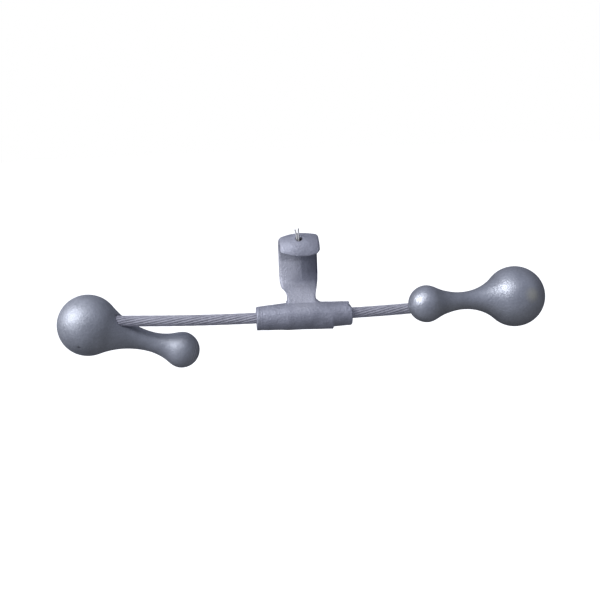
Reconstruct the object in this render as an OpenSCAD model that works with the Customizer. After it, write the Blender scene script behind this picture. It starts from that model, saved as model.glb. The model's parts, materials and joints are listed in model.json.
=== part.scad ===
// Stockbridge vibration damper for an overhead conductor, in millimetres.
// A cast hook clamp holds a steel strand, and a dog-bone weight hangs on each end of the strand.
// X runs along the strand, Z is up, and the origin is on the axis of the conductor in the hook.

/* [Hook] */
// Radius of the conductor seat
seat_r = 10.5; // [8:0.5:13]
// Length of the straight stretch in the middle of the seat
seat_land = 12; // [8:1:18]
// Radius of the bell mouth that opens each end of the seat
bell_r = 80; // [70:5:140]
// Thickness of the hook at its parting plane
hook_wall = 11; // [10:0.5:14]
// Radius of the crown across the outside of the hook
crown_r = 62; // [58:1:120]
// Reach of the hook to the left of its parting plane
hook_left = 22; // [17:0.5:23]
// Reach of the hook to the right of its parting plane
hook_right = 16.7; // [14:0.1:20]
// Height of the lip's lower edge above the conductor's axis
lip_height = 1.8; // [1:0.2:5]
// Radius of the crowned lower edge of the lip
lip_crown_r = 74; // [45:1:90]
// Cut across the lip's lower left corner
lip_corner_left = 1; // [0.5:0.5:5]
// Cut across the lip's lower right corner
lip_corner_right = 3; // [0.5:0.5:5]
// Chamfer along the side edges of the hook
edge_chamfer = 1.2; // [0.6:0.1:1.5]
// Depth of the open throat below the conductor's axis
throat_depth = 30; // [26:1:34]

/* [Neck] */
// Distance from the conductor's axis down to the strand's axis
drop = 61.6; // [60:0.2:70]
// Height above the strand's axis where the arm starts to narrow
shoulder_height = 33; // [31:0.5:36]
// Height above the strand's axis where the shoulder turns into the waist
waist_top = 27; // [25.5:0.5:28.5]
// Narrow half of the neck to the left of the parting plane
neck_left = 15.3; // [12:0.1:16]
// Narrow half of the neck to the right of the parting plane
neck_right = 12.9; // [10:0.1:14]
// Radius of the waist on the left of the neck
waist_left_r = 12; // [10.5:0.5:14]
// Radius of the waist on the right of the neck
waist_right_r = 24; // [20:1:30]
// Radius of the fillet where the left of the neck meets the barrel
root_left_r = 1.2; // [0.6:0.2:3]
// Radius of the fillet where the right of the neck meets the barrel
root_right_r = 3.6; // [2:0.2:4]
// Height above the strand's axis where the back of the arm starts to slope forward
back_bend = 30; // [28:0.5:31]
// How far the foot of the neck comes forward of the strand's axis
neck_foot = 2.5; // [1:0.5:5]

/* [Barrel] */
// Reach of the barrel to the left of the parting plane
barrel_left = 47.5; // [44:0.5:52]
// Reach of the barrel to the right of the parting plane
barrel_right = 48; // [45:0.5:52]
// Radius of the barrel under the neck
barrel_r = 13.8; // [13:0.1:15]
// Radius of the barrel at its left end
barrel_left_r = 11.3; // [10.8:0.1:12.5]
// Radius of the barrel at its right end
barrel_right_r = 12; // [10.8:0.1:12.5]
// Chamfer round both ends of the barrel
barrel_chamfer = 0.8; // [0.4:0.1:2]
// Cut across the top of the barrel's right end
barrel_cut = 3.4; // [1:0.2:5]
// Reach of the thick underside to the right of the parting plane
keel_right = 29; // [20:0.5:32]
// How far the underside hangs below the round barrel
keel_depth = 1.6; // [0.8:0.1:2.2]

/* [Split pin] */
// Diameter of the wire that the split pin is folded from
pin_wire = 1.6; // [1.4:0.1:2]
// Diameter of the pin's hole in the crown of the hook
pin_hole = 6.4; // [5.8:0.1:7]
// Depth of the pin's hole
pin_hole_depth = 6; // [4:0.5:7]
// How far the hole lies in front of the conductor's axis
pin_forward = 10.5; // [8:0.5:12]
// How far the hole lies to the left of the parting plane
pin_left = 3; // [0:0.2:5]
// Length of the long leg above the bottom of the hole
pin_long = 15.5; // [12:0.5:18]
// Length of the short leg above the bottom of the hole
pin_short = 12; // [9:0.5:14]
// Clearance between the two legs
pin_gap = 0.2; // [0.1:0.1:0.4]
// How far the pin stands to the left of the hole's middle
pin_offset = 1.2; // [0:0.1:1.3]

/* [Strand] */
// Diameter of one wire of the strand
wire_d = 2.1; // [1.9:0.05:2.3]
// Clearance between one layer of wires and the next
layer_gap = 0.1; // [0.1:0.01:0.2]
// Lay length of the twelve outer wires
outer_lay = 140; // [130:5:200]
// Lay length of the six inner wires
inner_lay = 110; // [100:5:160]
// Half the stretch of strand that lies straight in the barrel
straight_half = 31; // [20:1:40]
// Length over which each side of the strand bends up
bend_length = 120; // [60:5:130]
// Angle by which each side of the strand bends up
bend_angle = 3; // [0:0.1:3]
// Clearance round the strand in its bores
bore_clearance = 0.15; // [0.12:0.01:0.2]

/* [Weights] */
// Radius of the big lobe of each weight
big_r = 30.4; // [29:0.1:34]
// Radius of the small lobe of each weight
small_r = 18.3; // [17:0.1:20]
// How far the strand reaches past the middle of the big lobe
grip_past = 8; // [2:1:12]

/* [Left weight] */
// Distance from the parting plane to the middle of the left big lobe
left_reach = 213.4; // [208:0.2:225]
// Radius of the left weight's neck
left_neck_r = 10; // [9.5:0.1:11]
// Radius of the hollow on the big lobe's side of the left weight's neck
left_hollow_r = 79; // [70:1:86]
// Radius of the hollow on the small lobe's side of the left weight's neck
left_root_r = 47; // [40:1:56]
// How far the left big lobe lies behind the strand's axis
left_back = 6; // [4:0.5:7]
// How far the left big lobe lies below the strand's axis
left_below = 5.4; // [4:0.2:7]
// Angle by which the left small lobe points down
left_dip = 19.6; // [17:0.2:24]
// Angle by which the left small lobe points back
left_swing = 4.4; // [0:0.2:8]

/* [Right weight] */
// Distance from the parting plane to the middle of the right big lobe
right_reach = 213; // [205:1:220]
// Radius of the right weight's neck
right_neck_r = 8.7; // [8:0.1:9.5]
// Radius of the hollow on the big lobe's side of the right weight's neck
right_hollow_r = 58; // [50:1:66]
// Radius of the hollow on the small lobe's side of the right weight's neck
right_root_r = 64; // [56:1:72]
// How far the right big lobe lies in front of the strand's axis
right_front = 8; // [6:0.5:9]
// How far the right big lobe lies above the strand's axis
right_above = 3.2; // [2:0.2:6]
// Angle by which the right small lobe points up
right_lift = 1.2; // [0:0.2:4]
// Angle by which the right small lobe points forward
right_swing = 12.6; // [11:0.2:20]

/* [Hidden] */
inner_wires = 6;
outer_wires = 12;

// Facets of round forms, and the step between points on a drawn arc
round_fn = 96;
crown_fn = 180;
pin_fn = 24;
arc_step = 4;

// Allowance by which a cut runs past the face that it opens
past = 1;

// The hook
hook_r = seat_r + hook_wall;
bell_dip = sagitta(bell_r, seat_land / 2);
hook_length = hook_left + hook_right;

// The neck: where it sinks into the barrel, and how far its slope runs on into the wall
neck_sink = 0.3;
neck_overlap = 0.4;
barrel_top = barrel_r - neck_sink;
waist_height = barrel_top + root_right_r;

// The barrel: how much slimmer its underside is, and the slant of the cut at its end
keel_inset = 0.5;
cut_slant = 30;

// The split pin: the clearance under it, its fold and its tips
pin_seat = 0.05;
pin_tip = 0.5;
fold_d = pin_wire - 2 * pin_gap;

// The strand, and the bores that take it
layer_r = wire_d + layer_gap;
strand_r = 2 * layer_r + wire_d / 2;
bore_r = strand_r + bore_clearance;
end_gap = 0.3;
left_end = -(left_reach + grip_past);
right_end = right_reach + grip_past;

// Sides of a swept wire, and the rings in one turn of its lay
king_sides = 8;
king_rings = 9;
inner_sides = 5;
inner_rings = 14;
outer_sides = 6;
outer_rings = 15;

galvanised = [0.55, 0.57, 0.62];
cast_alloy = [0.62, 0.63, 0.69];
steel = [0.6, 0.6, 0.64];

// Height of an arc of radius r at a distance x from its middle
function sagitta(r, x) = r - sqrt(r * r - x * x);

// Points on an arc round a centre, from one angle to another
function arc(centre, r, from, to) =
    let (n = ceil(abs(to - from) / arc_step))
    [for (i = [0:n]) let (a = from + (to - from) * i / n) centre + r * [cos(a), sin(a)]];

// Rise of the strand's axis at a distance x from the parting plane
function rise(x) =
    let (u = abs(x) - straight_half)
    u <= 0 ? 0
    : u < bend_length ? tan(bend_angle) * u * u / (2 * bend_length)
    : tan(bend_angle) * (u - bend_length / 2);

// Slope of the strand's axis there, in degrees
function slope(x) = sign(x) * atan(tan(bend_angle) * min(max(abs(x) - straight_half, 0) / bend_length, 1));

function strand_point(x) = [x, 0, rise(x) - drop];

// ---- Clamp body

// Section of the hook's strap: radius first, then the distance along the conductor
module strap_section() {
    left_inner = seat_r - bell_dip + sagitta(bell_r, hook_left) + edge_chamfer;
    left_outer = hook_r - sagitta(crown_r, hook_left) - edge_chamfer;
    right_inner = seat_r - bell_dip + sagitta(bell_r, hook_right) + edge_chamfer;
    right_outer = hook_r - sagitta(crown_r, hook_right) - edge_chamfer;
    intersection() {
        translate([seat_r, -hook_left]) square([hook_wall, hook_length]);
        translate([hook_r - crown_r, 0]) circle(crown_r, $fn = crown_fn);
        translate([seat_r - bell_dip + bell_r, 0]) circle(bell_r, $fn = crown_fn);
        polygon([
            [left_inner, -hook_left], [left_outer, -hook_left],
            [left_outer + hook_wall, hook_wall - hook_left],
            [right_outer + hook_wall, hook_right - hook_wall],
            [right_outer, hook_right], [right_inner, hook_right],
            [right_inner - hook_wall, hook_right - hook_wall],
            [left_inner - hook_wall, hook_wall - hook_left]
        ]);
    }
}

// Outline of the hook from the front, with its crowned lower edge and cut corners
module lip_outline() {
    left_corner = lip_height + sagitta(lip_crown_r, hook_left);
    right_corner = lip_height + sagitta(lip_crown_r, hook_right);
    intersection() {
        translate([0, lip_height + lip_crown_r]) circle(lip_crown_r, $fn = crown_fn);
        polygon([
            [-hook_left, left_corner + lip_corner_left], [lip_corner_left - hook_left, left_corner], [0, 0],
            [hook_right - lip_corner_right, right_corner], [hook_right, right_corner + lip_corner_right],
            [hook_right, hook_r + past], [-hook_left, hook_r + past]
        ]);
    }
}

// The rounded top of the hook, from the wall behind the conductor to the lip in front of it
module hook_top() {
    intersection() {
        rotate([0, 90, 0]) rotate_extrude($fn = round_fn) strap_section();
        union() {
            rotate([90, 0, 0]) linear_extrude(hook_r + past) lip_outline();
            translate([-hook_left, 0, 0]) cube([hook_length, hook_r, hook_r]);
        }
    }
}

// Outline of the arm and neck from the front
module front_outline() {
    left_centre = [-neck_left - waist_left_r, waist_height - drop];
    right_centre = [neck_right + waist_right_r, waist_height - drop];
    turn_left = asin((waist_top - waist_height) / waist_left_r);
    turn_right = asin((waist_top - waist_height) / waist_right_r);
    polygon(concat(
        [[hook_right, 0], [-hook_left, 0], [-hook_left, shoulder_height - drop]],
        arc(left_centre, waist_left_r, turn_left, 0),
        arc([-neck_left - root_left_r, barrel_top + root_left_r - drop], root_left_r, 0, -90),
        [[-neck_left - root_left_r, -drop], [neck_right + root_right_r, -drop]],
        arc([neck_right + root_right_r, waist_height - drop], root_right_r, -90, -180),
        arc(right_centre, waist_right_r, 180, 180 - turn_right),
        [[hook_right, shoulder_height - drop]]
    ));
}

// Outline of the neck from the side, from the barrel up into the wall: Y first, then Z
module side_outline() {
    foot = [-neck_foot, barrel_top - drop];
    bend = [seat_r, -throat_depth];
    inside = bend + (bend - foot) * neck_overlap;
    back = barrel_r * sin(45);
    polygon([
        foot, inside, [hook_r, inside[1]], [hook_r, back_bend - drop],
        [back, back - drop], [0, -drop], [-neck_foot, -drop]
    ]);
}

// The wall behind the throat and the neck that slopes from it down to the barrel
module arm() {
    intersection() {
        translate([0, hook_r, 0]) rotate([90, 0, 0]) linear_extrude(hook_r + barrel_r) front_outline();
        union() {
            translate([0, 0, back_bend - drop]) linear_extrude(drop - back_bend)
                mirror([1, 0]) rotate(90) strap_section();
            intersection() {
                translate([-hook_left, 0, 0]) rotate([90, 0, 90]) linear_extrude(hook_length) side_outline();
                translate([0, hook_r - crown_r, -drop]) cylinder(h = drop, r = crown_r, $fn = crown_fn);
            }
        }
    }
}

// The round barrel: first the radius, then the distance along the strand
module round_barrel() {
    rotate_extrude($fn = round_fn) polygon([
        [0, -barrel_left], [barrel_left_r - barrel_chamfer, -barrel_left],
        [barrel_left_r, barrel_chamfer - barrel_left], [barrel_r, -neck_left],
        [barrel_r, 0], [barrel_right_r, barrel_right - barrel_chamfer],
        [barrel_right_r - barrel_chamfer, barrel_right], [0, barrel_right]
    ]);
}

// The barrel with its thicker underside, and with the cut across the top of its right end
module barrel() {
    translate([0, 0, -drop]) rotate([0, 90, 0]) {
        difference() {
            round_barrel();
            translate([-barrel_right_r, 0, barrel_right - barrel_cut / 2]) rotate([0, cut_slant, 0])
                translate([-barrel_cut, -barrel_r, 0]) cube([2 * barrel_cut, 2 * barrel_r, 2 * barrel_cut]);
        }
        translate([keel_depth, 0, -barrel_left]) cylinder(
            h = barrel_left + keel_right,
            r1 = barrel_left_r - keel_inset,
            r2 = barrel_r - keel_inset,
            $fn = round_fn
        );
    }
}

module clamp_body() {
    color(cast_alloy) difference() {
        union() {
            hook_top();
            arm();
            barrel();
        }
        translate([-barrel_left - past, 0, -drop]) rotate([0, 90, 0])
            cylinder(h = barrel_left + barrel_right + 2 * past, r = bore_r, $fn = round_fn);
        pin_place() cylinder(h = hook_r, d = pin_hole, $fn = round_fn);
    }
}

// ---- Split pin

// Moves its children to the bottom of the pin's hole
module pin_place() {
    surface_height = sqrt(hook_r * hook_r - pin_forward * pin_forward);
    translate([-pin_left, -pin_forward, surface_height - pin_hole_depth]) children();
}

// A leg of the pin, cut off to a short point
module pin_leg(length) {
    cylinder(h = length - pin_wire, d = pin_wire, $fn = pin_fn);
    translate([0, 0, length - pin_wire]) cylinder(h = pin_wire, d1 = pin_wire, d2 = pin_tip, $fn = pin_fn);
}

// A folded wire: a long leg and a short leg, joined across the bottom of the hole
module split_pin() {
    pitch = pin_wire + pin_gap;
    color(steel) pin_place() translate([-pin_offset, 0, pin_seat]) {
        translate([pitch / 2, 0, 0]) pin_leg(pin_long);
        translate([-pitch / 2, 0, 0]) pin_leg(pin_short);
        translate([-pitch / 2, 0, fold_d / 2]) rotate([0, 90, 0])
            cylinder(h = pitch, d = fold_d, $fn = pin_fn);
    }
}

// ---- Strand

// One wire of a layer, swept round the strand's axis from end to end
module wire(lay_r, start, lay, sides, lay_rings) {
    rings = ceil((right_end - left_end) * lay_rings / abs(lay));
    stretch = 1 / cos(atan(2 * PI * lay_r / lay));
    points = [
        for (i = [0:rings])
        let (
            x = left_end + (right_end - left_end) * i / rings,
            tilt = slope(x),
            turn = start + 360 * x / lay
        )
        for (j = [0:sides - 1])
        let (
            a = 360 * j / sides,
            out = lay_r + wire_d / 2 * cos(a),
            round = wire_d / 2 * stretch * sin(a),
            up = out * cos(turn) - round * sin(turn),
            side = out * sin(turn) + round * cos(turn)
        )
        strand_point(x) + [-up * sin(tilt), side, up * cos(tilt)]
    ];
    walls = [
        for (i = [0:rings - 1])
        for (j = [0:sides - 1])
        let (a = i * sides + j, b = i * sides + (j + 1) % sides)
        each [[a, b, a + sides], [b, b + sides, a + sides]]
    ];
    ends = [
        [for (j = [sides - 1:-1:0]) j],
        [for (j = [0:sides - 1]) rings * sides + j]
    ];
    polyhedron(points, concat(walls, ends));
}

module king_wire() {
    color(steel) wire(0, 0, outer_lay, king_sides, king_rings);
}

module inner_wire(i) {
    color(steel) wire(layer_r, 360 * i / inner_wires, -inner_lay, inner_sides, inner_rings);
}

module outer_wire(i) {
    color(steel) wire(2 * layer_r, 360 * i / outer_wires, outer_lay, outer_sides, outer_rings);
}

// ---- Weights

// Outline of a dog-bone: radius first, then the distance from the big lobe's centre
function dogbone_outline(neck_r, hollow_r, root_r) =
    let (
        to_big = sqrt(pow(big_r + hollow_r, 2) - pow(neck_r + hollow_r, 2)),
        to_small = sqrt(pow(small_r + root_r, 2) - pow(neck_r + root_r, 2)),
        big_turn = atan2(to_big, neck_r + hollow_r),
        small_turn = atan2(to_small, neck_r + root_r)
    )
    concat(
        arc([0, 0], big_r, -90, big_turn),
        arc([neck_r + hollow_r, to_big], hollow_r, 180 + big_turn, 180),
        arc([neck_r + root_r, to_big], root_r, 180, 180 - small_turn),
        arc([0, to_big + to_small], small_r, -small_turn, 90)
    );

// A dog-bone cast round its own axis, with the big lobe at the origin and the small lobe along +X
module dogbone(neck_r, hollow_r, root_r) {
    outline = [for (p = dogbone_outline(neck_r, hollow_r, root_r)) [max(p[0], 0), p[1]]];
    rotate([0, 90, 0]) rotate_extrude($fn = round_fn) polygon(outline);
}

// Blind bore that takes the end of the strand at x, as deep as the strand reaches
module strand_bore(x, length) {
    translate(strand_point(x)) rotate([0, -slope(x), 0])
        translate([x < 0 ? -end_gap : -length, 0, 0]) rotate([0, 90, 0])
            cylinder(h = length + end_gap, r = bore_r, $fn = round_fn);
}

module left_weight() {
    centre = strand_point(-left_reach) + [0, left_back, -left_below];
    color(galvanised) difference() {
        translate(centre) rotate([0, left_dip, left_swing])
            dogbone(left_neck_r, left_hollow_r, left_root_r);
        strand_bore(left_end, grip_past + 2 * big_r);
    }
}

module right_weight() {
    centre = strand_point(right_reach) + [0, -right_front, right_above];
    color(galvanised) difference() {
        translate(centre) rotate([0, -right_lift, 180 + right_swing])
            dogbone(right_neck_r, right_hollow_r, right_root_r);
        strand_bore(right_end, grip_past + 2 * big_r);
    }
}

clamp_body();
split_pin();
king_wire();
for (i = [1:inner_wires]) inner_wire(i);
for (i = [1:outer_wires]) outer_wire(i);
left_weight();
right_weight();
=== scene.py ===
import json
import math

import bpy
import bmesh
from mathutils import Matrix, Vector, noise


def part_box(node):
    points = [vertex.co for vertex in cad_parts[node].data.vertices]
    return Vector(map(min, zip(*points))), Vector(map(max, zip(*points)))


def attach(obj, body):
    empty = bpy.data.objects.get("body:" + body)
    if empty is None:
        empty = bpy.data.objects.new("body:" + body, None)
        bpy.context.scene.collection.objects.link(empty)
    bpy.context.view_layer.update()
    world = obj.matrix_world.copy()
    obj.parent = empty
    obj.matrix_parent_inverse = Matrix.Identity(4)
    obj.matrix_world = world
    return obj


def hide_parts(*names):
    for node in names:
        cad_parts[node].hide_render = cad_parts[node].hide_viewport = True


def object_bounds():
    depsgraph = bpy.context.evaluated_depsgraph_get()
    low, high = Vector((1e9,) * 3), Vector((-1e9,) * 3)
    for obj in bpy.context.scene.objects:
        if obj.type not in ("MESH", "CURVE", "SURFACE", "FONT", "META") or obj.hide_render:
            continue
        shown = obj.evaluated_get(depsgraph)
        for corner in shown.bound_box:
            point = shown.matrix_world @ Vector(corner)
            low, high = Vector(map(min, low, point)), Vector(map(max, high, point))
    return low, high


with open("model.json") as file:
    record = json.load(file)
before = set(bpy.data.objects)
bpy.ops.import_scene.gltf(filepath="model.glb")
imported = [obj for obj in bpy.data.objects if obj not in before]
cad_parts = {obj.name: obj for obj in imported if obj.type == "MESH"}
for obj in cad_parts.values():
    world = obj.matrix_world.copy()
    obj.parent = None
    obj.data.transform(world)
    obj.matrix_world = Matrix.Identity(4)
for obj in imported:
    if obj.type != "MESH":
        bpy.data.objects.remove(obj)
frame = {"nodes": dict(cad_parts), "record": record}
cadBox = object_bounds()
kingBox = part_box("king_wire")

# The strand runs lowest in its straight middle, so the underside of its king wire gives the axis
wireDiameter = 0.0021
axisHeight = kingBox[0].z + wireDiameter / 2


# One socket of a node tree: each sum on it adds a Math node
class Socket:
    def __init__(self, nodes, link):
        self.nodes = nodes
        self.link = link

    def maths(self, operation, first, second):
        return self.nodes.node("Math", {"operation": operation}, {0: first, 1: second})

    def __add__(self, other):
        return self.maths("ADD", self, other)

    def __radd__(self, other):
        return self.maths("ADD", other, self)

    def __sub__(self, other):
        return self.maths("SUBTRACT", self, other)

    def __rsub__(self, other):
        return self.maths("SUBTRACT", other, self)

    def __mul__(self, other):
        return self.maths("MULTIPLY", self, other)

    def __rmul__(self, other):
        return self.maths("MULTIPLY", other, self)


# Nodes of one tree, each made by the same method
class Nodes:
    def __init__(self, tree):
        self.tree = tree

    # Any node: its type, its settings first, then the values or links of its sockets
    def node(self, kind, settings, values, output=0):
        made = self.tree.nodes.new("ShaderNode" + kind)
        for name, value in settings.items():
            setattr(made, name, value)
        for name, value in values.items():
            self.feed(made.inputs[name], value)
        return Socket(self, made.outputs[output])

    def feed(self, socket, value):
        if isinstance(value, Socket):
            self.tree.links.new(value.link, socket)
        else:
            socket.default_value = value

    # How far a vector reaches along a direction
    def along(self, vector, direction):
        values = {0: vector, 1: tuple(direction)}
        return self.node("VectorMath", {"operation": "DOT_PRODUCT"}, values, "Value")

    # Stretches the part of a value between two limits to the range from 0 to 1
    def spread(self, value, low, high, curve="LINEAR"):
        settings = {"interpolation_type": curve}
        return self.node("MapRange", settings, {"Value": value, "From Min": low, "From Max": high})

    # The first colour where the factor is 0, the second where it is 1
    def blend(self, factor, first, second):
        values = {0: factor, 6: self.rgba(first), 7: self.rgba(second)}
        return self.node("Mix", {"data_type": "RGBA"}, values, 2)

    def rgba(self, colour):
        return colour if isinstance(colour, Socket) else (*colour, 1.0)


# The finish of one metal: a Principled shader and the nodes that feed it
class Finish(Nodes):
    def __init__(self, name, metallic, specular=0.5):
        self.material = bpy.data.materials.new(name)
        self.material.use_nodes = True
        super().__init__(self.material.node_tree)
        self.shader = self.tree.nodes["Principled BSDF"]
        self.shader.inputs["Metallic"].default_value = metallic
        self.shader.inputs["Specular IOR Level"].default_value = specular
        self.place = self.node("TexCoord", {}, {}, "Object")

    # Noise over the metal, with spots of about the given size in metres
    def noise(self, size, detail=3.0, roughness=0.55):
        values = {"Vector": self.place, "Scale": 1 / size, "Detail": detail, "Roughness": roughness}
        return self.node("TexNoise", {}, values)

    # Noise with more contrast, for clouds, flecks and specks
    def mottle(self, size, roughness=0.55, low=0.35, high=0.65):
        return self.spread(self.noise(size, roughness=roughness), low, high)

    # A soft round patch: 1 within a share of its radius, the core, and nothing beyond the radius
    def near(self, middle, radius, core):
        values = {0: self.place, 1: tuple(middle)}
        away = self.node("VectorMath", {"operation": "DISTANCE"}, values, "Value")
        return self.spread(away, radius, radius * core, "SMOOTHSTEP")

    # Bumps of the given height in metres, laid over the bumps made before
    def bump(self, height, depth, under=None):
        values = {"Height": height, "Distance": depth, "Strength": 1.0}
        if under:
            values["Normal"] = under
        return self.node("Bump", {}, values)

    def end(self, colour, roughness, normal):
        self.feed(self.shader.inputs["Base Color"], self.rgba(colour))
        self.feed(self.shader.inputs["Roughness"], roughness)
        self.feed(self.shader.inputs["Normal"], normal)
        return self.material


# The finish of a casting: soft clouds, fine grain and flecks between a dull and a bright colour
class CastFinish(Finish):
    def __init__(self, name, look):
        super().__init__(name, look["metallic"])
        self.clouds = self.mottle(look["cloud"])
        self.grain = self.noise(look["grain"], detail=2.0)
        self.fine = self.spread(self.grain, low=0.3, high=0.7)
        self.flecks = self.mottle(look["fleck"], roughness=0.6)
        cloudShare, fineShare, fleckShare = look["tintShares"]
        tint = self.clouds * cloudShare + self.fine * fineShare + self.flecks * fleckShare
        self.tint = self.blend(tint, look["dull"], look["bright"])

    # Roughness between two limits, by the clouds and by one finer noise
    def roughness(self, limits, shares, finer):
        low, high = limits
        return low + (high - low) * (self.clouds * shares[0] + finer * shares[1])


def wear(piece, material):
    piece.data.materials.clear()
    piece.data.materials.append(material)


def smoothFaces(mesh):
    mesh.polygons.foreach_set("use_smooth", [True] * len(mesh.polygons))
    mesh.update()


def addPiece(name, mesh):
    piece = bpy.data.objects.new(name, mesh)
    bpy.context.scene.collection.objects.link(piece)
    return piece


# Applies the modifiers of a piece to its mesh
def settle(piece):
    depsgraph = bpy.context.evaluated_depsgraph_get()
    mesh = bpy.data.meshes.new_from_object(piece.evaluated_get(depsgraph))
    piece.modifiers.clear()
    piece.data = mesh


# Moves each vertex along its normal, by the metres that a function of the vertex gives
def moveAlongNormals(mesh, howFar):
    moves = [vertex.normal * howFar(vertex) for vertex in mesh.vertices]
    for vertex, move in zip(mesh.vertices, moves):
        vertex.co += move


# Sinks a round pit into a mesh
def sinkPit(mesh, middle, radius, depth):
    def pit(vertex):
        away = min((vertex.co - middle).length / radius, 1.0)
        return -depth * (1 - away * away) ** 2

    moveAlongNormals(mesh, pit)


# Smooths a piece where a function of the place gives more than 0, and fully where it gives 1
def feather(piece, softness, rounds):
    group = piece.vertex_groups.new(name="feather")
    for vertex in piece.data.vertices:
        weight = softness(vertex.co)
        if weight > 0:
            group.add([vertex.index], min(weight, 1.0), "REPLACE")
    modifier = piece.modifiers.new("feather", "SMOOTH")
    modifier.vertex_group = group.name
    modifier.factor = 0.9
    modifier.iterations = rounds
    settle(piece)
    piece.vertex_groups.clear()


# A casting over a node: the same form, with the soft edges and slightly uneven skin of sand-cast metal
def castOver(node, name, look):
    piece = addPiece(name, frame["nodes"][node].data.copy())
    weld = piece.modifiers.new("weld", "WELD")
    weld.merge_threshold = 1e-5
    remesh = piece.modifiers.new("remesh", "REMESH")
    remesh.mode = "VOXEL"
    remesh.voxel_size = look["voxel"]
    soften = piece.modifiers.new("soften", "SMOOTH")
    soften.factor = 0.5
    soften.iterations = look["soften"]
    settle(piece)

    # The soft swell and ripple of cast metal: real form, not only shading
    def unevenness(vertex):
        place = vertex.co + Vector(look["noisePlace"])
        swell = noise.noise(place / look["swellSize"]) * look["swellDepth"]
        return swell + noise.noise(place / look["rippleSize"]) * look["rippleDepth"]

    moveAlongNormals(piece.data, unevenness)
    smoothFaces(piece.data)
    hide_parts(node)
    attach(piece, "root")
    return piece


weightLook = {
    "voxel": 0.0009,
    "soften": 8,
    "noisePlace": (0.0, 0.0, 0.0),
    "swellSize": 0.014,
    "swellDepth": 0.00006,
    "rippleSize": 0.004,
    "rippleDepth": 0.00002,
    "metallic": 0.76,
    "bright": (0.50, 0.525, 0.59),
    "dull": (0.365, 0.385, 0.435),
    "tintShares": (0.5, 0.25, 0.25),
    "roughShares": (0.4, 0.6),
    "cloud": 0.018,
    "grain": 0.0012,
    "grainDepth": 0.00005,
    "fleck": 0.0024,
    "fleckDepth": 0.00011,
    "markCore": 0.1,
    "junctionAt": 0.011,
    "junctionReach": 0.011,
    "junctionStrength": 1.3,
    "featherRounds": 70,
    "bigRadius": 0.0304,
    "smallRadius": 0.0183,
    "ring": (0.72, 0.74, 0.80),
    "ringPitch": 0.0021,
    "ringFrom": 0.35,
    "ringTo": 0.6,
    "ringCrest": 0.2,
}

# What differs between the sides: the mark on the big lobe, in a direction from its middle (a dark pit on
# the left, a painted warm reflection on the right), the shine of the zinc, and how much the rings round
# the small lobe show, whose pale crests lighten its end
weightMarks = {
    "left": {
        "toward": (-0.241, -0.81, -0.529),
        "radius": 0.0024,
        "depth": 0.0005,
        "colour": (0.12, 0.12, 0.14),
        "share": 0.8,
        "roughness": (0.49, 0.61),
        "ringTint": 0.8,
        "ringDepth": 0.00010,
    },
    # On the right the mark is a painted warm reflection on the big lobe, with no pit
    "right": {
        "toward": (0.321, -0.92, 0.219),
        "radius": 0.0105,
        "depth": 0.0,
        "colour": (0.74, 0.73, 0.62),
        "share": 0.6,
        "roughness": (0.35, 0.46),
        "ringTint": 0.0,
        "ringDepth": 0.00002,
    },
}


# The middles of a weight's two lobes, from its box: the small lobe lies inboard of the big one
def lobeMiddles(side):
    low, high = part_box(side + "_weight")
    big = weightLook["bigRadius"]
    small = weightLook["smallRadius"]
    if side == "left":
        return (
            Vector((low.x + big, low.y + big, high.z - big)),
            Vector((high.x - small, high.y - small, low.z + small)),
        )
    return (
        Vector((high.x - big, high.y - big, low.z + big)),
        Vector((low.x + small, low.y + small, (low.z + high.z) / 2)),
    )


# Softens the run from the neck into the small lobe
def softenNeck(weight, bigMiddle, smallMiddle):
    look = weightLook
    toBig = (bigMiddle - smallMiddle).normalized()

    def junction(place):
        away = (place - smallMiddle).dot(toBig) - look["junctionAt"]
        return look["junctionStrength"] * (1 - abs(away) / look["junctionReach"])

    feather(weight, junction, look["featherRounds"])


# Zinc over iron, with one mark on the big lobe, a dark pit on the left and a painted warm reflection on
# the right, and rings round the end of the small one whose pale crests lighten that end
def galvanisedFinish(side, bigMiddle, smallMiddle, spot):
    look = weightLook
    mark = weightMarks[side]
    zinc = CastFinish(side + "Zinc", look)
    # The mark: a dark pit on the left, a painted warm reflection on the right
    pitAndPaintedReflection = zinc.near(spot, mark["radius"], look["markCore"])
    colour = zinc.blend(pitAndPaintedReflection * mark["share"], zinc.tint, mark["colour"])
    axis = (smallMiddle - bigMiddle).normalized()
    small = look["smallRadius"]
    reach = zinc.along(zinc.place, axis) - smallMiddle.dot(axis)
    atEnd = zinc.spread(reach, small * look["ringFrom"], small * look["ringTo"], "SMOOTHSTEP")
    turns = reach * (2 * math.pi / look["ringPitch"])
    rings = zinc.node("Math", {"operation": "SINE"}, {0: turns})
    crests = zinc.spread(rings, look["ringCrest"], 1.0) * atEnd
    colour = zinc.blend(crests * mark["ringTint"], colour, look["ring"])
    rough = zinc.roughness(mark["roughness"], look["roughShares"], zinc.flecks)
    turned = zinc.bump(rings * atEnd, mark["ringDepth"])
    skin = zinc.bump(zinc.flecks, look["fleckDepth"], turned)
    skin = zinc.bump(zinc.grain, look["grainDepth"], skin)
    return zinc.end(colour, rough, skin)


for side, mark in weightMarks.items():
    weight = castOver(side + "_weight", side + "DogBone", weightLook)
    bigMiddle, smallMiddle = lobeMiddles(side)
    softenNeck(weight, bigMiddle, smallMiddle)
    spot = bigMiddle + Vector(mark["toward"]).normalized() * weightLook["bigRadius"]
    if mark["depth"]:
        sinkPit(weight.data, spot, mark["radius"], mark["depth"])
    smoothFaces(weight.data)
    wear(weight, galvanisedFinish(side, bigMiddle, smallMiddle, spot))
print("weights made")


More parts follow.
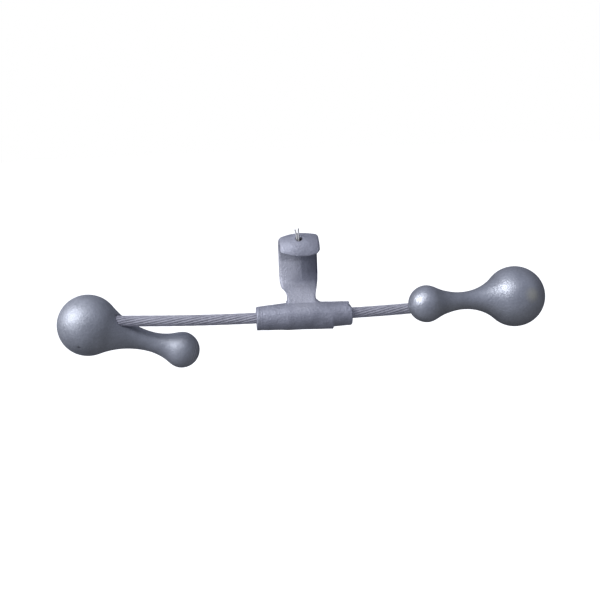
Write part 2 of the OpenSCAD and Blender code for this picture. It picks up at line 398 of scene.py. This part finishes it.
clampLook = {
    "voxel": 0.00055,
    "soften": 3,
    "noisePlace": (0.3, 0.3, 0.3),
    "swellSize": 0.009,
    "swellDepth": 0.00010,
    "rippleSize": 0.0028,
    "rippleDepth": 0.00005,
    "leftDraft": 0.0010,
    "rightDraft": 0.0026,
    "draftFade": 0.009,
    "straightShare": 0.35,
    "curvedShare": 0.65,
    "facingFrom": 0.2,
    "facingFade": 0.4,
    "barrelRadius": 0.0165,
    "boreRadius": 0.0085,
    "stepAt": 0.029,
    "stepReach": 0.006,
    "stepFrom": -0.0095,
    "stepFade": 0.004,
    "bendReach": 0.007,
    "bendStrength": 1.5,
    "rootAt": 0.017,
    "rootReach": 0.007,
    "rootStrength": 1.5,
    "featherRounds": 60,
    "endFacing": 0.6,
    "crimpPitch": 0.0026,
    "crimpDepth": 0.00014,
    "crimpFrom": 0.1,
    "crimpReach": 0.0105,
    "dentSize": 0.0027,
    "dentDepth": 0.00050,
    "dentReach": 0.014,
    "metallic": 0.58,
    "bright": (0.47, 0.485, 0.57),
    "dull": (0.31, 0.32, 0.385),
    "tintShares": (0.45, 0.25, 0.3),
    "roughness": (0.50, 0.66),
    "roughShares": (0.4, 0.6),
    "cloud": 0.010,
    "grain": 0.0011,
    "grainDepth": 0.00012,
    "fleck": 0.0020,
    "fleckDepth": 0.00018,
    "edge": (0.70, 0.71, 0.76),
    "edgeFrom": 0.53,
    "edgeTo": 0.60,
    "edgeShare": 0.2,
    "halfFrom": -0.0008,
    "halfTo": 0.0012,
    "frontFrom": 0.008,
    "frontTo": 0.006,
    "lipFrom": -0.0105,
    "lipTo": -0.006,
    "neckMiddle": (0.0, 0.0, -0.044),
    "wallShadeAside": 0.9,
    "wallLightAside": 0.7,
    "shadeBelow": 0.004,
    "holeAside": 0.0012,
    "holeAbove": 0.0030,
}

# Patches of another colour: painted light on the neck and on the left of the wall, painted shade on its
# right, painted shade under the lip, and painted shade in the pin's hole
clampPatches = {
    "neck": {"colour": (0.66, 0.67, 0.75), "radius": 0.022, "core": 0.3, "share": 0.5},
    "paintedWallLight": {"colour": (0.66, 0.67, 0.75), "radius": 0.024, "core": 0.4, "share": 0.6},
    "paintedWallShade": {"colour": (0.16, 0.17, 0.22), "radius": 0.029, "core": 0.1, "share": 0.6},
    "shade": {"colour": (0.16, 0.17, 0.22), "radius": 0.024, "core": 0.8, "share": 0.45},
    "paintedHoleShade": {"colour": (0.04, 0.04, 0.05), "radius": 0.0048, "core": 0.7, "share": 0.9},
}


# The wall of the throat falls back on each side of the parting plane, and more steeply on the right
def draftWall(mesh, low, high):
    look = clampLook
    moves = []
    for vertex in mesh.vertices:
        place = vertex.co
        inside = min(place.z - low.z, high.z - place.z) / look["draftFade"]
        facing = (-vertex.normal.y - look["facingFrom"]) / look["facingFade"]
        if place.y < 0 or inside < 0 or facing < 0:
            continue
        aside = place.x / (high.x if place.x > 0 else low.x)
        draft = look["rightDraft"] if place.x > 0 else look["leftDraft"]
        fall = draft * (look["straightShare"] * aside + look["curvedShare"] * aside * aside)
        moves.append((vertex, fall * min(inside, 1.0) * min(facing, 1.0)))
    for vertex, fall in moves:
        vertex.co.y += fall


# Marks of the press round the barrel: shallow rings at its left end, small dents at its right end
def pressBarrel(mesh, box):
    look = clampLook

    def pressed(vertex):
        place = vertex.co
        outside = math.hypot(place.y, place.z - axisHeight) > look["barrelRadius"]
        if outside or abs(vertex.normal.x) > look["endFacing"]:
            return 0.0
        fromLeft = (place.x - box[0].x) / look["crimpReach"]
        fromRight = (box[1].x - place.x) / look["dentReach"]
        if look["crimpFrom"] < fromLeft < 1:
            wave = 0.5 - 0.5 * math.cos(2 * math.pi * (place.x - box[0].x) / look["crimpPitch"])
            return -look["crimpDepth"] * wave * math.sin(math.pi * fromLeft)
        if 0 < fromRight < 1:
            dent = max(noise.noise(place / look["dentSize"]), 0.0)
            return -look["dentDepth"] * dent * (1 - fromRight)
        return 0.0

    moveAlongNormals(mesh, pressed)


# The step in the barrel's side where the thick underside ends, but not the step below
def barrelStep(place):
    look = clampLook
    aside = abs(place.x - look["stepAt"]) / look["stepReach"]
    above = (place.z - axisHeight - look["stepFrom"]) / look["stepFade"]
    onBarrel = look["boreRadius"] < math.hypot(place.y, place.z - axisHeight) < look["barrelRadius"]
    return min(above, 1.0) * (1 - aside) if aside < 1 and onBarrel else 0.0


# The bend from the wall of the throat into the neck
def throatBend(place):
    look = clampLook
    away = abs(place.z - throat[0].z) / look["bendReach"]
    return look["bendStrength"] * (1 - away) if place.y > 0 else 0.0


# The corner between the neck and the barrel on the right
def neckRoot(place):
    look = clampLook
    aside = place.x - look["rootAt"]
    above = place.z - axisHeight - look["barrelRadius"]
    return look["rootStrength"] * (1 - math.hypot(aside, above) / look["rootReach"])


# Cast alloy: edges worn bright, painted light on the neck and on the left of the throat's wall, and
# painted shade on the wall's right, under the lip and in the pin's hole
def castAlloyFinish(low, high):
    look = clampLook
    alloy = CastFinish("castAlloy", look)

    def patched(colour, name, middle, mask=1.0):
        patch = clampPatches[name]
        amount = alloy.near(middle, patch["radius"], patch["core"]) * mask
        return alloy.blend(amount * patch["share"], colour, patch["colour"])

    sharpness = alloy.node("NewGeometry", {}, {}, "Pointiness")
    edges = alloy.spread(sharpness, look["edgeFrom"], look["edgeTo"])
    across = alloy.along(alloy.place, (1, 0, 0))
    depth = alloy.along(alloy.place, (0, 1, 0))
    height = alloy.along(alloy.place, (0, 0, 1))
    rightHalf = alloy.spread(across, look["halfFrom"], look["halfTo"], "SMOOTHSTEP")
    inFront = alloy.spread(depth, high.y + look["frontFrom"], high.y + look["frontTo"])
    underLip = alloy.spread(height, high.z + look["lipFrom"], high.z + look["lipTo"], "SMOOTHSTEP")
    middle = (low.z + high.z) / 2
    pinLow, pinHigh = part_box("split_pin")
    hole = (pinLow + pinHigh) / 2
    hole.x += look["holeAside"]
    hole.z = pinLow.z + look["holeAbove"]
    colour = alloy.blend(edges * look["edgeShare"], alloy.tint, look["edge"])
    # Painted light on the neck and on the top of the barrel below it
    colour = patched(colour, "neck", look["neckMiddle"])
    leftHalf = 1 - rightHalf
    # Painted light on the left half of the throat's wall
    colour = patched(colour, "paintedWallLight", (low.x * look["wallLightAside"], high.y, middle), leftHalf * inFront)
    # Painted shade on the right half of the throat's wall, with a sharp edge at the parting plane
    colour = patched(colour, "paintedWallShade", (high.x * look["wallShadeAside"], high.y, middle), rightHalf * inFront)
    colour = patched(colour, "shade", (0.0, high.y, high.z - look["shadeBelow"]), underLip * inFront)
    # Painted shade in the pin's hole
    colour = patched(colour, "paintedHoleShade", hole)
    rough = alloy.roughness(look["roughness"], look["roughShares"], alloy.fine)
    skin = alloy.bump(alloy.flecks, look["fleckDepth"])
    skin = alloy.bump(alloy.grain, look["grainDepth"], skin)
    return alloy.end(colour, rough, skin)


clamp = castOver("clamp_body", "hookClamp", clampLook)
throat = [Vector(corner) for corner in frame["record"]["physics"]["openings"][0]["box_m"]]
draftWall(clamp.data, *throat)
for softness in (barrelStep, throatBend, neckRoot):
    feather(clamp, softness, clampLook["featherRounds"])
pressBarrel(clamp.data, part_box("clamp_body"))
smoothFaces(clamp.data)
wear(clamp, castAlloyFinish(*throat))
print("clamp made")


strandLook = {
    "layerGap": 0.0001,
    "outerLay": 0.140,
    "straightHalf": 0.031,
    "bendLength": 0.120,
    "bendAngle": 3.0,
    "swell": 1.08,
    "flatten": 0.6,
    "sides": 16,
    "step": 0.0015,
    "metallic": 0.2,
    "bright": (0.49, 0.49, 0.56),
    "dull": (0.38, 0.38, 0.44),
    "roughness": (0.46, 0.58),
    "cloud": 0.006,
    "grain": 0.0008,
    "grainDepth": 0.00004,
}


# How far the strand's axis has risen at a distance along it
def strandRise(x):
    past = abs(x) - strandLook["straightHalf"]
    bend = strandLook["bendLength"]
    slope = math.tan(math.radians(strandLook["bendAngle"]))
    if past <= 0:
        return 0.0
    if past < bend:
        return slope * past * past / (2 * bend)
    return slope * (past - bend / 2)


# The angle at which the axis leans there
def strandTilt(x):
    past = max(abs(x) - strandLook["straightHalf"], 0.0)
    slope = math.tan(math.radians(strandLook["bendAngle"]))
    return math.copysign(math.atan(slope * min(past / strandLook["bendLength"], 1.0)), x)


# A closed tube over rows of points, capped at both ends
def tube(name, rows):
    mesh = bmesh.new()
    rings = [[mesh.verts.new(point) for point in row] for row in rows]
    for last, ring in zip(rings, rings[1:]):
        for side in range(len(ring)):
            after = (side + 1) % len(ring)
            mesh.faces.new((last[side], ring[side], ring[after], last[after]))
    mesh.faces.new(rings[0][::-1])
    mesh.faces.new(rings[-1])
    bmesh.ops.recalc_face_normals(mesh, faces=mesh.faces)
    data = bpy.data.meshes.new(name)
    mesh.to_mesh(data)
    mesh.free()
    smoothFaces(data)
    return data


# One outer wire, swept along its helix from end to end of the strand, a little wide and flat outside
def outerWire(index, count, low, high):
    look = strandLook
    radius = wireDiameter / 2
    layRadius = 2 * (wireDiameter + look["layerGap"])
    stretch = math.hypot(1.0, 2 * math.pi * layRadius / look["outerLay"])
    steps = round((high - low) / look["step"])
    rows = []
    for step in range(steps + 1):
        x = low + (high - low) * step / steps
        turn = 2 * math.pi * (index / count + x / look["outerLay"])
        tilt = Matrix.Rotation(-strandTilt(x), 4, "Y")
        here = Matrix.Translation((x, 0.0, axisHeight + strandRise(x))) @ tilt
        row = []
        for side in range(look["sides"]):
            angle = 2 * math.pi * side / look["sides"]
            lift = math.copysign(abs(math.cos(angle)) ** look["flatten"], math.cos(angle))
            out = layRadius + radius * lift
            along = radius * look["swell"] * stretch * math.sin(angle)
            up = out * math.cos(turn) - along * math.sin(turn)
            across = out * math.sin(turn) + along * math.cos(turn)
            row.append(here @ Vector((0.0, across, up)))
        rows.append(row)
    return tube("strandWire", rows)


# Drawn steel, dull and even
def strandFinish():
    look = strandLook
    steel = Finish("strandSteel", look["metallic"])
    clouds = steel.mottle(look["cloud"])
    grain = steel.noise(look["grain"], detail=2.0)
    colour = steel.blend(clouds, look["dull"], look["bright"])
    low, high = look["roughness"]
    rough = low + (high - low) * clouds
    return steel.end(colour, rough, steel.bump(grain, look["grainDepth"]))


steel = strandFinish()
outerNodes = [name for name in frame["nodes"] if name.startswith("outer_wire_")]
for name in outerNodes:
    index = int(name.split("_")[-1])
    data = outerWire(index, len(outerNodes), kingBox[0].x, kingBox[1].x)
    wire = addPiece("strandWire" + str(index), data)
    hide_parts(name)
    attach(wire, "root")
    wear(wire, steel)
for name, piece in frame["nodes"].items():
    if name == "king_wire" or name.startswith("inner_wire_"):
        wear(piece, steel)
print("strand made")


pinLook = {
    "wire": 0.0016,
    "gap": 0.0002,
    "foldUp": 0.75,
    "topDown": 0.2,
    "shortLeg": 0.0136,
    "spreadFrom": 0.0060,
    "spread": 0.0017,
    "spreadPower": 1.5,
    "legSteps": 14,
    "foldSteps": 8,
    "shortSteps": 16,
    "sides": 16,
    "tip": 0.85,
    "metallic": 0.35,
    "bright": (0.80, 0.80, 0.80),
    "dull": (0.50, 0.495, 0.49),
    "dullShare": 0.6,
    "roughness": 0.38,
    "roughSwing": 0.15,
    "speck": 0.0012,
    "speckDepth": 0.00003,
}


# The line of the folded wire: down the long leg, round the fold and up the short leg, which is spread out
def pinLine(low, high):
    look = pinLook
    half = look["wire"] / 2
    reach = half + look["gap"] / 2
    middle = Vector((low.x + half + reach, (low.y + high.y) / 2, 0.0))
    fold = low.z + half * look["foldUp"]
    top = high.z - half * look["topDown"]
    line = []
    for step in range(look["legSteps"] + 1):
        line.append(Vector((reach, 0.0, top + (fold + reach - top) * step / look["legSteps"])))
    for step in range(1, look["foldSteps"]):
        angle = math.pi * step / look["foldSteps"]
        line.append(Vector((reach * math.cos(angle), 0.0, fold + reach - reach * math.sin(angle))))
    for step in range(look["shortSteps"] + 1):
        height = reach + (look["shortLeg"] - reach) * step / look["shortSteps"]
        past = max(height - look["spreadFrom"], 0.0) / (look["shortLeg"] - look["spreadFrom"])
        aside = reach + look["spread"] * past ** look["spreadPower"]
        line.append(Vector((-aside, 0.0, fold + height)))
    return [point + middle for point in line]


# The round wire along its line, a little thinner at its two tips
def pinWire(line):
    look = pinLook
    across = Vector((0.0, 1.0, 0.0))
    last = len(line) - 1
    rows = []
    for index, point in enumerate(line):
        ahead = line[min(index + 1, last)] - line[max(index - 1, 0)]
        aside = ahead.normalized().cross(across)
        radius = look["wire"] / 2 * (look["tip"] if index in (0, last) else 1.0)
        row = []
        for side in range(look["sides"]):
            angle = 2 * math.pi * side / look["sides"]
            row.append(point + (across * math.sin(angle) + aside * math.cos(angle)) * radius)
        rows.append(row)
    return tube("splitPin", rows)


# Plated steel with small dull specks
def pinFinish():
    look = pinLook
    plated = Finish("pinSteel", look["metallic"])
    specks = plated.mottle(look["speck"], low=0.3, high=0.7)
    colour = plated.blend(specks * look["dullShare"], look["bright"], look["dull"])
    rough = look["roughness"] + specks * look["roughSwing"]
    return plated.end(colour, rough, plated.bump(specks, look["speckDepth"]))


line = pinLine(*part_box("split_pin"))
pin = addPiece("splitPin", pinWire(line))
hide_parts("split_pin")
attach(pin, "root")
wear(pin, pinFinish())
print("split pin made")


studio = {
    "floorDepth": 1.6,
    "floorRadius": 30.0,
    "floorColour": (0.93, 0.93, 0.93),
    "floorGlow": 1.0,
    "brightSide": (-0.55, -0.40, 0.73),
    "brightReach": (-0.8, 1.0),
    "brightSky": (0.40, 0.42, 0.51),
    "frontSide": (0.09, -0.97, -0.20),
    "frontReach": (-0.9, 0.5),
    "frontSky": (0.165, 0.167, 0.172),
    "backSky": (0.05, 0.05, 0.055),
    "lampDistance": 2.6,
    "lampSize": 1.6,
    "leftLamp": {"direction": (-0.80, -0.29, 0.52), "power": 45.0},
    "topLamp": {"direction": (-0.43, -0.42, 0.80), "power": 13.5},
}


# A wide pale sheet, so far below that it takes no shadow and that views from below still show the part
def addFloor():
    mesh = bmesh.new()
    bmesh.ops.create_circle(mesh, cap_ends=True, segments=96, radius=studio["floorRadius"])
    data = bpy.data.meshes.new("floor")
    mesh.to_mesh(data)
    mesh.free()
    floor = bpy.data.objects.new("floor", data)
    floor.location.z = cadBox[0].z - studio["floorDepth"]
    bpy.context.scene.collection.objects.link(floor)
    paper = Finish("floorPaper", 0.0, 0.0)
    paper.feed(paper.shader.inputs["Base Color"], paper.rgba(studio["floorColour"]))
    paper.feed(paper.shader.inputs["Emission Color"], paper.rgba(studio["floorColour"]))
    paper.feed(paper.shader.inputs["Emission Strength"], studio["floorGlow"])
    wear(floor, paper.material)
    floor.visible_glossy = False
    floor.visible_diffuse = False


# A soft round lamp turned towards the middle of the object
def addLamp(name):
    light = bpy.data.lights.new(name, "AREA")
    light.shape = "DISK"
    light.size = studio["lampSize"]
    light.energy = studio[name]["power"]
    lamp = bpy.data.objects.new(name, light)
    toLamp = Vector(studio[name]["direction"]).normalized()
    middle = (cadBox[0] + cadBox[1]) / 2
    lamp.location = middle + toLamp * studio["lampDistance"]
    lamp.rotation_euler = toLamp.to_track_quat("Z", "Y").to_euler()
    bpy.context.scene.collection.objects.link(lamp)


# White behind the object, and a soft sky that is darkest behind it and brightest above on the left
def lightWorld():
    world = bpy.data.worlds.new("studio")
    world.use_nodes = True
    sky = Nodes(world.node_tree)
    background = world.node_tree.nodes["Background"]
    outward = sky.node("TexCoord", {}, {}, "Generated")
    toBright = Vector(studio["brightSide"]).normalized()
    toFront = Vector(studio["frontSide"]).normalized()
    bright = sky.spread(sky.along(outward, toBright), *studio["brightReach"], "SMOOTHSTEP")
    front = sky.spread(sky.along(outward, toFront), *studio["frontReach"], "SMOOTHSTEP")
    glow = sky.blend(front, studio["backSky"], studio["frontSky"])
    glow = sky.blend(bright, glow, studio["brightSky"])
    seen = sky.node("LightPath", {}, {}, "Is Camera Ray")
    sky.feed(background.inputs["Color"], sky.blend(seen, glow, (1.0, 1.0, 1.0)))
    bpy.context.scene.world = world
    bpy.context.scene.view_settings.view_transform = "Standard"


addFloor()
lightWorld()
addLamp("leftLamp")
addLamp("topLamp")
print("studio lit")


cameraPlace = {
    "azimuth": -5.0,
    "elevation": 12.0,
    "roll": 2.1,
    "distance": 1.0,
    "width": 0.600,
    "aimAcross": -0.0038,
    "aimUp": 0.0155,
}


# The camera looks at a point set out from the strand's axis under the hook
def addCamera():
    place = cameraPlace
    azimuth = math.radians(place["azimuth"])
    elevation = math.radians(place["elevation"])
    level = math.cos(elevation)
    back = Vector((math.sin(azimuth) * level, -math.cos(azimuth) * level, math.sin(elevation)))
    roll = Matrix.Rotation(math.radians(-place["roll"]), 3, "Z").to_quaternion()
    turn = back.to_track_quat("Z", "Y") @ roll
    data = bpy.data.cameras.new("camera")
    data.lens = data.sensor_width * place["distance"] / place["width"]
    camera = bpy.data.objects.new("camera", data)
    aim = Vector((0.0, 0.0, axisHeight)) + turn @ Vector((place["aimAcross"], place["aimUp"], 0.0))
    camera.location = aim + back * place["distance"]
    camera.rotation_euler = turn.to_euler()
    bpy.context.scene.collection.objects.link(camera)
    bpy.context.scene.camera = camera


addCamera()
print("camera placed")
